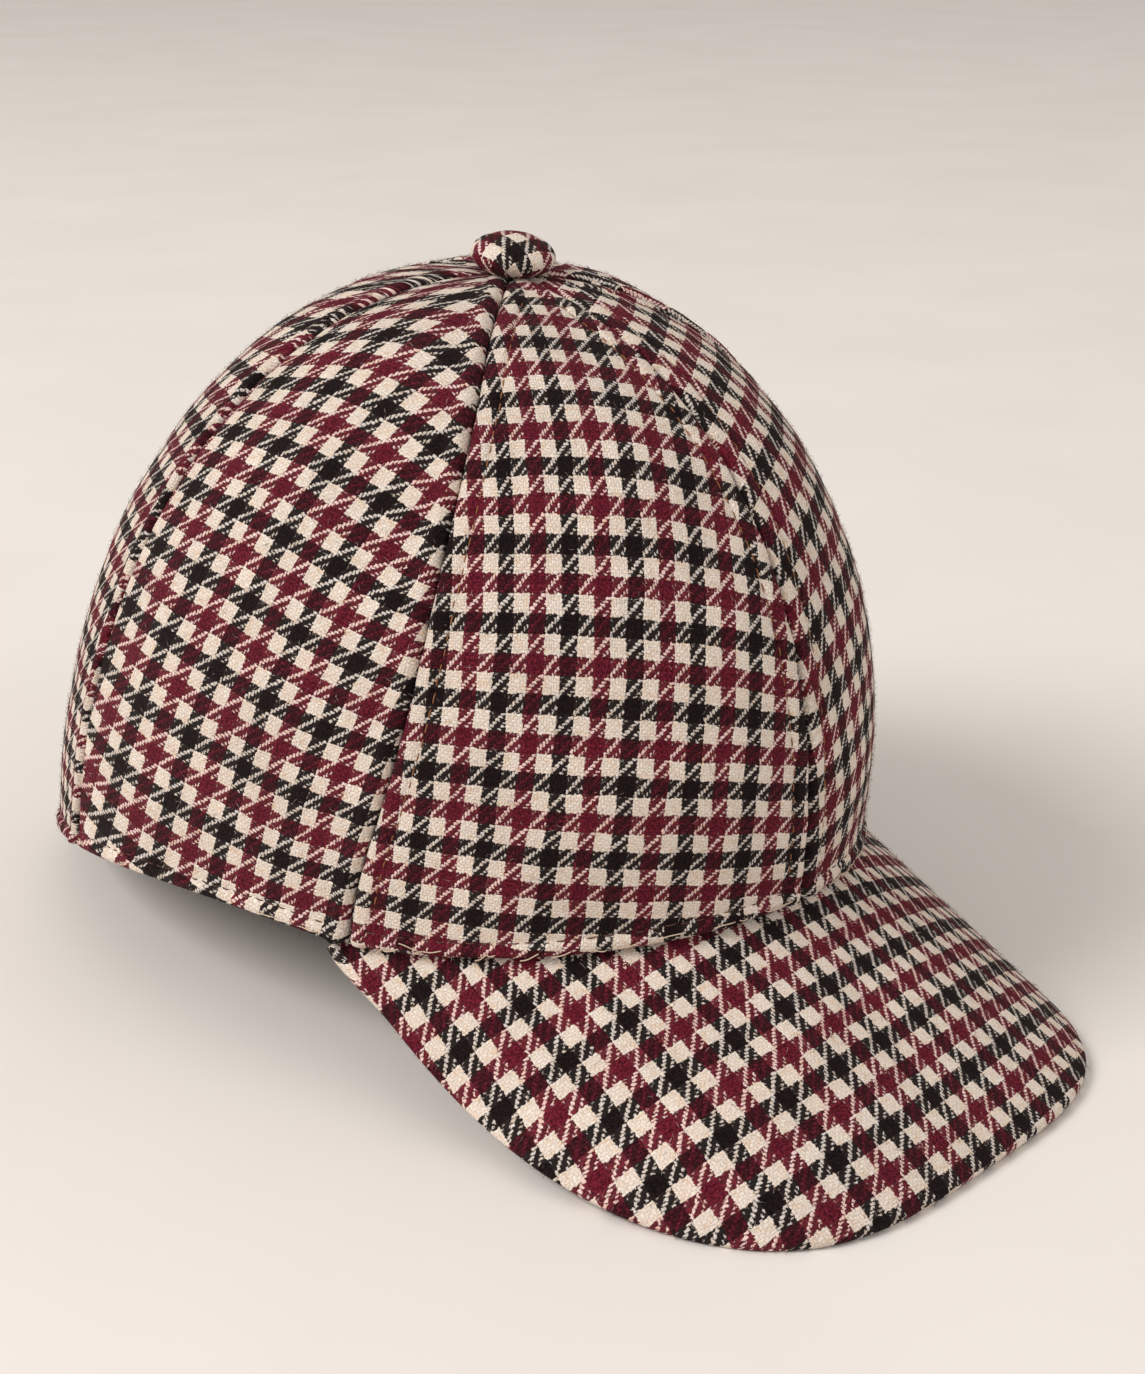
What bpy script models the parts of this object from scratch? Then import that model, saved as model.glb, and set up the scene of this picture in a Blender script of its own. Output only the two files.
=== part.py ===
"""Six-panel cloth cap with a covered button on its top and a stiff peak in front.

Sizes are in millimetres and the meshes are made in metres. The cap faces -Y, and +Z is up.
Every piece is first worked out in the cap's own frame: z is 0 at the two ends of the peak, the
widest line of the rim lies on y = 0, and theta is 0 at the front and grows towards -X. The cap is
then leaned forward until it stands on its peak and on the back of its rim.
"""

import math
from collections import namedtuple

import bmesh
import bpy
import numpy as np
from mathutils import Matrix

MM = 0.001

# Rim, the lower edge of the crown
RIM_FRONT = 111.5
RIM_BACK = 90.5
RIM_HALF_WIDTH = 74.5
RIM_ARCH = 16.5
BACK_DROP = 50.5
BACK_SWEEP = 1.7

# Crown, above the ends of the peak
CROWN_HEIGHT = 112.5
TOP_FORWARD = 17.0
FORWARD_EASE = 1.6
PANEL_BULGE = 1.2
CLOTH_WALL = 2.0

# Peak
PEAK_LENGTH = 52.5
PEAK_HALF_WIDTH = 65.6
PEAK_SQUARENESS = 3.5
PEAK_TIP_DROP = 12.0
PEAK_SIDE_DIP = 11.6
PEAK_DIP_SHIFT = 0.88
PEAK_THICKNESS = 3.2
PEAK_EDGE_ROUND = 1.6
PEAK_EDGE_THICKNESS = 1.0

# Button
BUTTON_RADIUS = 8.4
BUTTON_HALF_HEIGHT = 3.6
BUTTON_BASE_RADIUS = 5.5
SHANK_RADIUS = 1.0

# Clearance between pieces that are sewn together, and round the button's shank
GAP = 0.3
SHANK_CLEARANCE = 0.8
HOLE_RADIUS = SHANK_RADIUS + SHANK_CLEARANCE

# Angles round the rim of the seams and of the ends of the peak
FRONT_SEAM = 0.0
SIDE_FRONT_SEAM = math.radians(60.0)
SIDE_BACK_SEAM = math.radians(109.0)
BACK_SEAM = math.pi
PEAK_END = math.radians(61.5)

# Shape of a line from the rim to the top: a larger reach keeps it wide near the top, a larger rise
# keeps it upright above the rim
Profile = namedtuple("Profile", "reach rise")
FRONT_PROFILE = Profile(reach=2.15, rise=1.85)
SIDE_PROFILE = Profile(reach=2.35, rise=2.2)
BACK_PROFILE = Profile(reach=2.0, rise=2.0)

Panel = namedtuple("Panel", "name start end")
PANELS = (
    Panel("front_panel_right", FRONT_SEAM, SIDE_FRONT_SEAM),
    Panel("side_panel_right", SIDE_FRONT_SEAM, SIDE_BACK_SEAM),
    Panel("back_panel_right", SIDE_BACK_SEAM, BACK_SEAM),
    Panel("front_panel_left", -SIDE_FRONT_SEAM, -FRONT_SEAM),
    Panel("side_panel_left", -SIDE_BACK_SEAM, -SIDE_FRONT_SEAM),
    Panel("back_panel_left", -BACK_SEAM, -SIDE_BACK_SEAM),
)

# Mesh steps
PANEL_COLUMNS = 13
PANEL_ROWS = 25
ROW_CROWDING = 1.3
PEAK_STATIONS = 45
PEAK_ROWS = 10
BUTTON_SIDES = 28
BUTTON_ARC_STEPS = 9
OUTLINE_SAMPLES = 2001
SMALL_ANGLE = 0.004
LEAN_HALVINGS = 40
MOST_LEAN = math.radians(40.0)


def clear_scene():
    for item in list(bpy.data.objects):
        bpy.data.objects.remove(item, do_unlink=True)


def cloth(name, colour):
    material = bpy.data.materials.new(name)
    material.use_nodes = True
    shader = material.node_tree.nodes["Principled BSDF"]
    shader.inputs["Base Color"].default_value = (*colour, 1.0)
    shader.inputs["Roughness"].default_value = 0.9
    shader.inputs["Metallic"].default_value = 0.0
    return material


def rim_place(theta):
    """x and y of the rim: one half ellipse in front of the widest line and one behind it."""
    length = np.where(np.cos(theta) > 0, RIM_FRONT, RIM_BACK)
    return -RIM_HALF_WIDTH * np.sin(theta), -length * np.cos(theta)


def rim_height(theta):
    """z of the rim: an arch over the peak, and a sweep down to the back."""
    x, y = rim_place(theta)
    end_x, end_y = rim_place(PEAK_END)
    arch = RIM_ARCH * (1 - (x / end_x) ** 2)
    behind = np.clip((y - end_y) / (RIM_BACK - end_y), 0, 1)
    return np.where(y < end_y, arch, -BACK_DROP * behind**BACK_SWEEP)


def profile(theta):
    """The side profile, blended into the front or back one by the square of the cosine."""
    forward = np.cos(theta) > 0
    share = np.cos(theta) ** 2
    reach = SIDE_PROFILE.reach + share * (
        np.where(forward, FRONT_PROFILE.reach, BACK_PROFILE.reach) - SIDE_PROFILE.reach
    )
    rise = SIDE_PROFILE.rise + share * (
        np.where(forward, FRONT_PROFILE.rise, BACK_PROFILE.rise) - SIDE_PROFILE.rise
    )
    return reach, rise


def crown_point(theta, share):
    """Point of the crown at an angle, and at a share of the way from the rim to the button's hole.

    A superellipse: the distance from the top's axis falls as a power of a cosine while the height
    grows as a power of a sine of the same angle.
    """
    x, y = rim_place(theta)
    low = rim_height(theta)
    reach, rise = profile(theta)
    last = np.arccos((HOLE_RADIUS / np.hypot(x, y)) ** (reach / 2))
    angle = last * (1 - (1 - share) ** ROW_CROWDING)
    inward = np.cos(angle) ** (2 / reach)
    upward = np.sin(angle) ** (2 / rise)
    middle = -TOP_FORWARD * upward**FORWARD_EASE
    return np.stack([x * inward, y * inward + middle, low + (CROWN_HEIGHT - low) * upward], axis=-1)


def crown_normal(theta, share):
    """Outward unit normal of the crown, from small steps along and across it."""
    up = np.clip(share + SMALL_ANGLE, 0, 1)
    down = np.clip(share - SMALL_ANGLE, 0, 1)
    along = crown_point(theta, up) - crown_point(theta, down)
    across = crown_point(theta + SMALL_ANGLE, share) - crown_point(theta - SMALL_ANGLE, share)
    return unit(np.cross(along, across))


def unit(vectors):
    return vectors / np.linalg.norm(vectors, axis=-1, keepdims=True)


def half_gap_angle(theta, share):
    """Angle that half the seam's clearance takes at each height."""
    step = crown_point(theta + SMALL_ANGLE, share) - crown_point(theta - SMALL_ANGLE, share)
    return GAP / 2 * 2 * SMALL_ANGLE / np.linalg.norm(step, axis=-1)


def panel_grids(start, end):
    """Outer and inner surface of one panel, which swells between its seams."""
    share = np.linspace(0, 1, PANEL_ROWS)[None, :]
    position = np.linspace(0, 1, PANEL_COLUMNS)[:, None]
    first = start + half_gap_angle(start, share)
    last = end - half_gap_angle(end, share)
    theta = first + (last - first) * position
    normal = crown_normal(theta, share + 0 * theta)
    swell = PANEL_BULGE * np.sin(math.pi * position) * 4 * share * (1 - share)
    outer = crown_point(theta, share + 0 * theta) + swell[..., None] * normal
    return outer, outer - CLOTH_WALL * normal


def peak_outline(share):
    """Outer edge of the peak, from share -1 at its left end through its tip to 1 at its right end.

    Seen from above it is a squared-off half ellipse that starts at the ends of the rim's arch. Its
    sides dip below a straight line from the ends to the tip.
    """
    end_x, end_y = rim_place(PEAK_END)
    angle = share * math.pi / 2
    forward = np.clip(np.cos(angle), 0, 1) ** (2 / PEAK_SQUARENESS)
    sideways = np.sign(share) * np.abs(np.sin(angle)) ** (2 / PEAK_SQUARENESS)
    half_width = PEAK_HALF_WIDTH + (abs(end_x) - PEAK_HALF_WIDTH) * (1 - forward) ** 2
    dip = PEAK_SIDE_DIP * np.sin(math.pi * forward**PEAK_DIP_SHIFT)
    return np.stack(
        [
            -half_width * sideways,
            end_y - (RIM_FRONT + PEAK_LENGTH + end_y) * forward,
            -PEAK_TIP_DROP * forward - dip,
        ],
        axis=-1,
    )


def peak_seat(share):
    """Inner edge of the peak, tucked under the crown's wall."""
    theta = share * PEAK_END
    floor_of_rim = crown_point(theta, 0 * theta) - CLOTH_WALL * crown_normal(theta, 0 * theta)
    return floor_of_rim - np.array([0, 0, GAP])


def peak_stations():
    """Shares of the outline that are spread evenly over the outer and the inner edge."""
    share = np.linspace(-1, 1, OUTLINE_SAMPLES)
    spread = 0
    for line in (peak_outline(share), peak_seat(share)):
        steps = np.linalg.norm(np.diff(line, axis=0), axis=1)
        spread = spread + np.concatenate([[0], np.cumsum(steps)]) / steps.sum()
    return np.interp(np.linspace(0, 2, PEAK_STATIONS), spread, share)


def peak_grids():
    """Top and underside of the peak: straight lines from its seat to its outline, and a round edge."""
    station = peak_stations()
    along = np.linspace(0, 1, PEAK_ROWS)[None, :, None]
    seat = peak_seat(station)[:, None, :]
    edge = peak_outline(station)[:, None, :]
    width = np.linalg.norm(edge - seat, axis=-1, keepdims=True)
    round_share = np.minimum(PEAK_EDGE_ROUND / width, 0.5)
    along = along[:, :-1] * (1 - round_share) / along[:, -2:-1]
    along = np.concatenate([along, np.ones_like(width)], axis=1)
    top = seat + (edge - seat) * along
    normal = unit(np.cross(np.gradient(top, axis=0), np.gradient(top, axis=1)))
    normal = normal * np.sign(normal[..., 2:3])
    trim = np.zeros(along.shape)
    trim[:, -1] = (PEAK_THICKNESS - PEAK_EDGE_THICKNESS) / 2
    return top - trim * normal, top - (PEAK_THICKNESS - trim) * normal


def button_profile():
    """Radius and height of the turned button: shank, flat base and a flattened ball."""
    first = -math.acos(BUTTON_BASE_RADIUS / BUTTON_RADIUS)
    centre = -BUTTON_HALF_HEIGHT * math.sin(first)
    angle = np.linspace(first, math.pi / 2, BUTTON_ARC_STEPS)
    points = [(0, -CLOTH_WALL), (SHANK_RADIUS, -CLOTH_WALL), (SHANK_RADIUS, 0)]
    points += [(BUTTON_RADIUS * math.cos(a), centre + BUTTON_HALF_HEIGHT * math.sin(a)) for a in angle[:-1]]
    points.append((0, centre + BUTTON_HALF_HEIGHT))
    return points


def wall_mesh(name, outer, inner):
    """One closed wall between two grids of points."""
    columns, rows = outer.shape[:2]
    number = np.arange(columns * rows).reshape(columns, rows)
    back = number + columns * rows
    faces = [
        quad
        for grid in (number, back)
        for quad in np.stack([grid[:-1, :-1], grid[1:, :-1], grid[1:, 1:], grid[:-1, 1:]], -1).reshape(-1, 4)
    ]
    for border, behind in (
        (number[0], back[0]),
        (number[-1], back[-1]),
        (number[:, 0], back[:, 0]),
        (number[:, -1], back[:, -1]),
    ):
        faces += list(np.stack([border[:-1], border[1:], behind[1:], behind[:-1]], -1))
    points = np.concatenate([outer.reshape(-1, 3), inner.reshape(-1, 3)])
    return closed_mesh(name, points, faces)


def turned_mesh(name, profile_points, sides):
    """A profile turned round z, with a single point at each pole."""
    radius = np.array([point[0] for point in profile_points[1:-1]])
    height = np.array([point[1] for point in profile_points[1:-1]])
    angle = 2 * math.pi * np.arange(sides)[:, None] / sides
    rings = np.stack([radius * np.cos(angle), radius * np.sin(angle), height + 0 * angle], -1)
    points = np.concatenate([rings.reshape(-1, 3), [[0, 0, profile_points[0][1]], [0, 0, profile_points[-1][1]]]])
    number = np.arange(sides * len(radius)).reshape(sides, len(radius))
    after = np.roll(number, -1, axis=0)
    low, high = len(points) - 2, len(points) - 1
    faces = list(np.stack([number[:, :-1], after[:, :-1], after[:, 1:], number[:, 1:]], -1).reshape(-1, 4))
    faces += [(low, second, one) for one, second in zip(number[:, 0], after[:, 0])]
    faces += [(high, one, second) for one, second in zip(number[:, -1], after[:, -1])]
    return closed_mesh(name, points, faces)


def closed_mesh(name, points, faces):
    mesh = bpy.data.meshes.new(name)
    mesh.from_pydata((points * MM).tolist(), [], [[int(corner) for corner in face] for face in faces])
    edit = bmesh.new()
    edit.from_mesh(mesh)
    bmesh.ops.recalc_face_normals(edit, faces=edit.faces)
    edit.to_mesh(mesh)
    edit.free()
    mesh.shade_smooth()
    mesh.set_sharp_from_angle(angle=math.radians(50))
    return mesh


def add_piece(mesh, material):
    piece = bpy.data.objects.new(mesh.name, mesh)
    bpy.context.scene.collection.objects.link(piece)
    mesh.materials.append(material)
    return piece


def points_of(piece):
    flat = np.empty(len(piece.data.vertices) * 3)
    piece.data.vertices.foreach_get("co", flat)
    return flat.reshape(-1, 3)


def resting_lean(peak, panels):
    """Forward lean at which the peak and the back of the rim reach equally low."""
    crown = np.concatenate([points_of(panel) for panel in panels])
    front = points_of(peak)
    back = crown[crown[:, 1] > 0]
    low, high = 0.0, MOST_LEAN
    for _ in range(LEAN_HALVINGS):
        lean = (low + high) / 2
        lift = [points[:, 1] * math.sin(lean) + points[:, 2] * math.cos(lean) for points in (front, back)]
        if lift[0].min() > lift[1].min():
            low = lean
        else:
            high = lean
    return lean


def stand_up(pieces, lean):
    """Leans every piece forward, then puts the middle of their box over the origin, on the floor."""
    turn = Matrix.Rotation(lean, 4, "X")
    for piece in pieces:
        piece.data.transform(turn)
    corners = np.concatenate([points_of(piece) for piece in pieces])
    middle = (corners.min(axis=0) + corners.max(axis=0)) / 2
    for piece in pieces:
        piece.data.transform(Matrix.Translation((-middle[0], -middle[1], -corners[:, 2].min())))


def build_cap():
    panel_cloth = cloth("checked_wool", (0.42, 0.30, 0.28))
    peak_cloth = cloth("checked_wool_on_board", (0.40, 0.28, 0.26))
    button_cloth = cloth("covered_button", (0.36, 0.20, 0.20))
    panels = [
        add_piece(wall_mesh(panel.name, *panel_grids(panel.start, panel.end)), panel_cloth) for panel in PANELS
    ]
    peak = add_piece(wall_mesh("peak", *peak_grids()), peak_cloth)
    button = add_piece(turned_mesh("top_button", button_profile(), BUTTON_SIDES), button_cloth)
    button.data.transform(Matrix.Translation((0, -TOP_FORWARD * MM, (CROWN_HEIGHT + GAP) * MM)))
    pieces = [*panels, peak, button]
    stand_up(pieces, resting_lean(peak, panels))


clear_scene()
build_cap()
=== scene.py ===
# %% [markdown]
# # A checked six-panel cap
# The cap is sewn from six pointed panels of checked wool twill, with a covered button on top and
# one stiff peak in front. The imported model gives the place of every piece. This lesson repeats its
# measured shape with a finer grid, adds the sewing, and weaves the cloth from nodes.

# %% Load the frame
import math
from collections import namedtuple

import bmesh
import bpy
import numpy as np
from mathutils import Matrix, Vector


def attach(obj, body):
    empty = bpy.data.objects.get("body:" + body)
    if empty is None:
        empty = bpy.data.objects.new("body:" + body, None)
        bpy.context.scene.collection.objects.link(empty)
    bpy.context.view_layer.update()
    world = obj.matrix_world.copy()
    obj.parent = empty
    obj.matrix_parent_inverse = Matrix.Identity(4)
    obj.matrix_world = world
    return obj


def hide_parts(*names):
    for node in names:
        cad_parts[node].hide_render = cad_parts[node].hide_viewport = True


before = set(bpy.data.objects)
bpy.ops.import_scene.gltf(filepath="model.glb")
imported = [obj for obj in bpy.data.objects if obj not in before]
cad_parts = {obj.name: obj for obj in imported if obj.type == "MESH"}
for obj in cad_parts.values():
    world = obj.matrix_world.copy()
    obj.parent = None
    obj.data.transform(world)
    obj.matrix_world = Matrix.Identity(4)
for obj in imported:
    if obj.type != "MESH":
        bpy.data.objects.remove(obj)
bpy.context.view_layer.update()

MM = 0.001


def put_object(name, data):
    """A new object of the data, linked to the scene."""
    item = bpy.data.objects.new(name, data)
    bpy.context.scene.collection.objects.link(item)
    return item


# %% [markdown]
# ## The cap's measured shape
# A real cap maker cuts the panels flat. Here it is easier to state the finished shape: a rim seen
# from above as two half ellipses, and lines from the rim to the top that are superellipses. The
# names and sizes are those of the model, in millimetres, so the fine pieces lie on its solids.

# %% Rim and crown
RIM_FRONT = 111.5
RIM_BACK = 90.5
RIM_HALF_WIDTH = 74.5
RIM_ARCH = 16.5
BACK_DROP = 50.5
BACK_SWEEP = 1.7
CROWN_HEIGHT = 112.5
TOP_FORWARD = 17.0
FORWARD_EASE = 1.6
PANEL_BULGE = 1.2
CLOTH_WALL = 2.0
HOLE_RADIUS = 1.8
GAP = 0.3
ROW_CROWDING = 1.3
SMALL_ANGLE = 0.004
PEAK_END = math.radians(61.5)
Profile = namedtuple("Profile", "reach rise")
FRONT_PROFILE = Profile(reach=2.15, rise=1.85)
SIDE_PROFILE = Profile(reach=2.35, rise=2.2)
BACK_PROFILE = Profile(reach=2.0, rise=2.0)


def unit(vectors):
    """Each vector divided by its length."""
    return vectors / np.linalg.norm(vectors, axis=-1, keepdims=True)


def run_length(points, axis=0):
    """The length from the first point along the axis: a running sum of the steps."""
    steps = np.diff(points, axis=axis, prepend=points.take([0], axis=axis))
    return np.cumsum(np.linalg.norm(steps, axis=-1), axis=axis)


def rim_place(theta):
    """x is minus the half width times the sine, y is minus the front or back length times the cosine."""
    length = np.where(np.cos(theta) > 0, RIM_FRONT, RIM_BACK)
    return -RIM_HALF_WIDTH * np.sin(theta), -length * np.cos(theta)


def rim_height(theta):
    """A parabola over the peak, and behind its ends a drop that grows as a power of the way back."""
    x, y = rim_place(theta)
    end_x, end_y = rim_place(PEAK_END)
    arch = RIM_ARCH * (1 - (x / end_x) ** 2)
    behind = np.clip((y - end_y) / (RIM_BACK - end_y), 0, 1)
    return np.where(y < end_y, arch, -BACK_DROP * behind**BACK_SWEEP)


def profile(theta):
    """The side's powers, moved towards the front's or back's by the square of the cosine."""
    forward = np.cos(theta) > 0
    share = np.cos(theta) ** 2
    reach = np.where(forward, FRONT_PROFILE.reach, BACK_PROFILE.reach)
    rise = np.where(forward, FRONT_PROFILE.rise, BACK_PROFILE.rise)
    return (
        SIDE_PROFILE.reach + share * (reach - SIDE_PROFILE.reach),
        SIDE_PROFILE.rise + share * (rise - SIDE_PROFILE.rise),
    )


def crown_point(theta, share):
    """The rim's place times a power of the cosine, raised by a power of the sine, of one angle."""
    x, y = rim_place(theta)
    low = rim_height(theta)
    reach, rise = profile(theta)
    last = np.arccos((HOLE_RADIUS / np.hypot(x, y)) ** (reach / 2))
    angle = last * (1 - (1 - share) ** ROW_CROWDING)
    inward = np.cos(angle) ** (2 / reach)
    upward = np.sin(angle) ** (2 / rise)
    middle = -TOP_FORWARD * upward**FORWARD_EASE
    return np.stack([x * inward, y * inward + middle, low + (CROWN_HEIGHT - low) * upward], axis=-1)


def crown_normal(theta, share):
    """The cross product of a small step up the crown and a small step round it."""
    up = np.clip(share + SMALL_ANGLE, 0, 1)
    down = np.clip(share - SMALL_ANGLE, 0, 1)
    along = crown_point(theta, up) - crown_point(theta, down)
    across = crown_point(theta + SMALL_ANGLE, share) - crown_point(theta - SMALL_ANGLE, share)
    return unit(np.cross(along, across))


def half_gap_angle(theta, share):
    """Half the seam's clearance divided by the length of one radian round the crown there."""
    step = crown_point(theta + SMALL_ANGLE, share) - crown_point(theta - SMALL_ANGLE, share)
    return GAP * SMALL_ANGLE / np.linalg.norm(step, axis=-1)


# %% Peak
PEAK_LENGTH = 52.5
PEAK_HALF_WIDTH = 65.6
PEAK_SQUARENESS = 3.5
PEAK_TIP_DROP = 12.0
PEAK_SIDE_DIP = 11.6
PEAK_DIP_SHIFT = 0.88
PEAK_THICKNESS = 3.2
PEAK_EDGE_THICKNESS = 1.0


def peak_outline(share):
    """A squared-off half ellipse from above; its drop grows forwards, with a sine's dip at the sides."""
    end_x, end_y = rim_place(PEAK_END)
    angle = share * math.pi / 2
    forward = np.clip(np.cos(angle), 0, 1) ** (2 / PEAK_SQUARENESS)
    sideways = np.sign(share) * np.abs(np.sin(angle)) ** (2 / PEAK_SQUARENESS)
    half_width = PEAK_HALF_WIDTH + (abs(end_x) - PEAK_HALF_WIDTH) * (1 - forward) ** 2
    dip = PEAK_SIDE_DIP * np.sin(math.pi * forward**PEAK_DIP_SHIFT)
    return np.stack(
        [
            -half_width * sideways,
            end_y - (RIM_FRONT + PEAK_LENGTH + end_y) * forward,
            -PEAK_TIP_DROP * forward - dip,
        ],
        axis=-1,
    )


def peak_seat(share):
    """The inside of the crown's wall at the rim, lowered by the clearance."""
    theta = share * PEAK_END
    floor_of_rim = crown_point(theta, 0 * theta) - CLOTH_WALL * crown_normal(theta, 0 * theta)
    return floor_of_rim - np.array([0, 0, GAP])


def spread_evenly(count):
    """Shares of the outline that are evenly spread over its outer and inner edge together."""
    share = np.linspace(-1, 1, 2001)
    spread = 0
    for line in (peak_outline(share), peak_seat(share)):
        length = run_length(line)
        spread = spread + length / length[-1]
    return np.interp(np.linspace(0, 2, count), spread, share)


# %% [markdown]
# ## From the cap's own frame to the floor
# The sizes above are measured with the peak's ends level. The cap rests on its peak and on the back
# of its rim, so it leans forward. The lean is found by halving an interval, on the same coarse
# points as the model's, and then the middle of the box goes over the origin.

# %% Lean and shift
CAD_COLUMNS, CAD_ROWS, CAD_STATIONS = 13, 25, 45
Panel = namedtuple("Panel", "name start end")
SIDE_SEAM, BACK_SEAM = math.radians(60.0), math.radians(109.0)
PANELS = (
    Panel("front_panel_right", 0.0, SIDE_SEAM),
    Panel("side_panel_right", SIDE_SEAM, BACK_SEAM),
    Panel("back_panel_right", BACK_SEAM, math.pi),
    Panel("front_panel_left", -SIDE_SEAM, -0.0),
    Panel("side_panel_left", -BACK_SEAM, -SIDE_SEAM),
    Panel("back_panel_left", -math.pi, -BACK_SEAM),
)


def swollen(theta, share, position):
    """The crown's points, swollen by a sine across the panel and a parabola up it, and its normals."""
    share = share + 0 * theta
    normal = crown_normal(theta, share)
    swell = PANEL_BULGE * np.sin(math.pi * position) * 4 * share * (1 - share)
    return crown_point(theta, share) + swell[..., None] * normal, normal


def wall_points(panel):
    """The panel's outer points, and its inner ones a wall's thickness behind them."""
    share = np.linspace(0, 1, CAD_ROWS)[None, :]
    position = np.linspace(0, 1, CAD_COLUMNS)[:, None]
    first = panel.start + half_gap_angle(panel.start, share)
    last = panel.end - half_gap_angle(panel.end, share)
    outer, normal = swollen(first + (last - first) * position, share, position)
    return np.concatenate([outer, outer - CLOTH_WALL * normal]).reshape(-1, 3)


def peak_points():
    """The peak's seat, and the upper and lower line of its edge, an edge's thickness apart."""
    station = spread_evenly(CAD_STATIONS)
    seat, edge = peak_seat(station), peak_outline(station)
    normal = unit(np.cross(np.gradient(edge, axis=0), edge - seat))
    normal = normal * np.sign(normal[:, 2:3])
    trim = (PEAK_THICKNESS - PEAK_EDGE_THICKNESS) / 2
    return np.concatenate([seat, edge - trim * normal, edge - (PEAK_THICKNESS - trim) * normal])


def lowest(points, lean):
    """The least height after a turn by the lean about x."""
    return (points[:, 1] * math.sin(lean) + points[:, 2] * math.cos(lean)).min()


crown = np.concatenate([wall_points(panel) for panel in PANELS])
visor = peak_points()
low, high = 0.0, math.radians(40.0)
for _ in range(40):
    lean = (low + high) / 2
    if lowest(visor, lean) > lowest(crown[crown[:, 1] > 0], lean):
        low = lean
    else:
        high = lean
turn = np.array([[1, 0, 0], [0, math.cos(lean), -math.sin(lean)], [0, math.sin(lean), math.cos(lean)]])
stood = np.concatenate([crown, visor]) @ turn.T
shift = np.array([0, -(stood[:, 1].min() + stood[:, 1].max()) / 2, -stood[:, 2].min()])


def on_floor(points):
    """Points in millimetres of the cap's own frame, turned by the lean and shifted, in metres."""
    return (points @ turn.T + shift) * MM


# %% [markdown]
# ## Camera
# The photograph was matched to the shape above, which gave the camera's turn round the cap, its
# height and its distance. The lens follows from the picture's height in pixels.

# %% Camera
PICTURE_HEIGHT = 1374
FOCAL_PIXELS = 2112.4
TURN = math.radians(-43.82)
RISE = math.radians(21.82)
DISTANCE, ASIDE, ABOVE = 477.9, 34.73, 10.69

back = np.array([math.sin(TURN) * math.cos(RISE), -math.cos(TURN) * math.cos(RISE), math.sin(RISE)])
aside = np.array([math.cos(TURN), math.sin(TURN), 0])
above = np.cross(back, aside)
camera_data = bpy.data.cameras.new("photo_camera")
camera_data.sensor_fit = "AUTO"
camera_data.sensor_width = 36.0
camera_data.lens = FOCAL_PIXELS * camera_data.sensor_width / PICTURE_HEIGHT
camera_data.clip_start, camera_data.clip_end = 0.01, 50.0
camera = put_object("photo_camera", camera_data)
camera.location = (back * DISTANCE + aside * ASIDE + above * ABOVE + shift) * MM
camera.rotation_mode = "QUATERNION"
camera.rotation_quaternion = Vector(-back).to_track_quat("-Z", "Y")
bpy.context.scene.camera = camera
print("camera at", [round(x, 3) for x in camera.location], "lens", round(camera_data.lens, 2), "mm")

# %% [markdown]
# ## Small helpers
# A finished piece is one mesh whose points are already in place. The points come as arrays, so the
# mesh is filled in a few calls. The cloth needs to know where it was cut, so each point also gets
# its place on the flat cloth, in millimetres, which becomes the UV map named cloth.

# %% Mesh helper
def put_piece(name, points, quads, triangles, flat, material, slot):
    """A mesh of points in millimetres of the cap's frame, its faces, and its places on the cloth.

    Heights under the floor are set to 0, as cloth that the cap stands on is pressed flat.
    """
    mesh = bpy.data.meshes.new(name)
    corners = np.concatenate([quads.ravel(), triangles.ravel()]).astype(np.int32)
    sizes = np.concatenate([np.full(len(quads), 4), np.full(len(triangles), 3)]).astype(np.int32)
    placed = on_floor(points)
    placed[:, 2] = np.maximum(placed[:, 2], 0)
    mesh.vertices.add(len(points))
    mesh.vertices.foreach_set("co", placed.astype(np.float32).ravel())
    mesh.loops.add(len(corners))
    mesh.loops.foreach_set("vertex_index", corners)
    mesh.polygons.add(len(sizes))
    mesh.polygons.foreach_set("loop_start", np.concatenate([[0], np.cumsum(sizes)[:-1]]).astype(np.int32))
    mesh.update(calc_edges=True)
    mesh.uv_layers.new(name="cloth").uv.foreach_set("vector", flat[corners].astype(np.float32).ravel())
    edit = bmesh.new()
    edit.from_mesh(mesh)
    bmesh.ops.recalc_face_normals(edit, faces=edit.faces)
    edit.to_mesh(mesh)
    edit.free()
    mesh.shade_smooth()
    mesh.materials.append(material)
    piece = put_object(name, mesh)
    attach(piece, "root")
    print(name, len(quads) * 2 + len(triangles), "triangles")
    return piece


# %% [markdown]
# ## The wool
# Threads run both ways in blocks of six: cream, burgundy, cream, black. In a two-by-two twill each
# thread passes over two and under two of the others, one step further along in each row, which
# gives the slanting dashes where a cream thread crosses a dark one. The pattern isn't painted: the
# nodes ask which thread lies on top at a point, and give that thread's colour.

# %% Colours
def linear(code):
    """An sRGB hex colour turned to linear: each part by the sRGB curve."""
    parts = [int(code[place : place + 2], 16) / 255 for place in (1, 3, 5)]
    return tuple(x / 12.92 if x <= 0.04045 else ((x + 0.055) / 1.055) ** 2.4 for x in parts) + (1.0,)


CREAM = linear("#EFE3D8")
CREAM_WARM = linear("#D6B9A0")
BURGUNDY = linear("#3A0414")
BURGUNDY_LIGHT = linear("#8C2A3E")
BLACK = linear("#090304")
BLACK_LIGHT = linear("#2A1D1E")
BESIDE_CREAM = (1.0, 1.0, 1.0, 1.0)
BESIDE_BURGUNDY = (1.0, 0.83, 0.88, 1.0)
BESIDE_BLACK = (0.8, 0.83, 0.87, 1.0)


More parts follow.
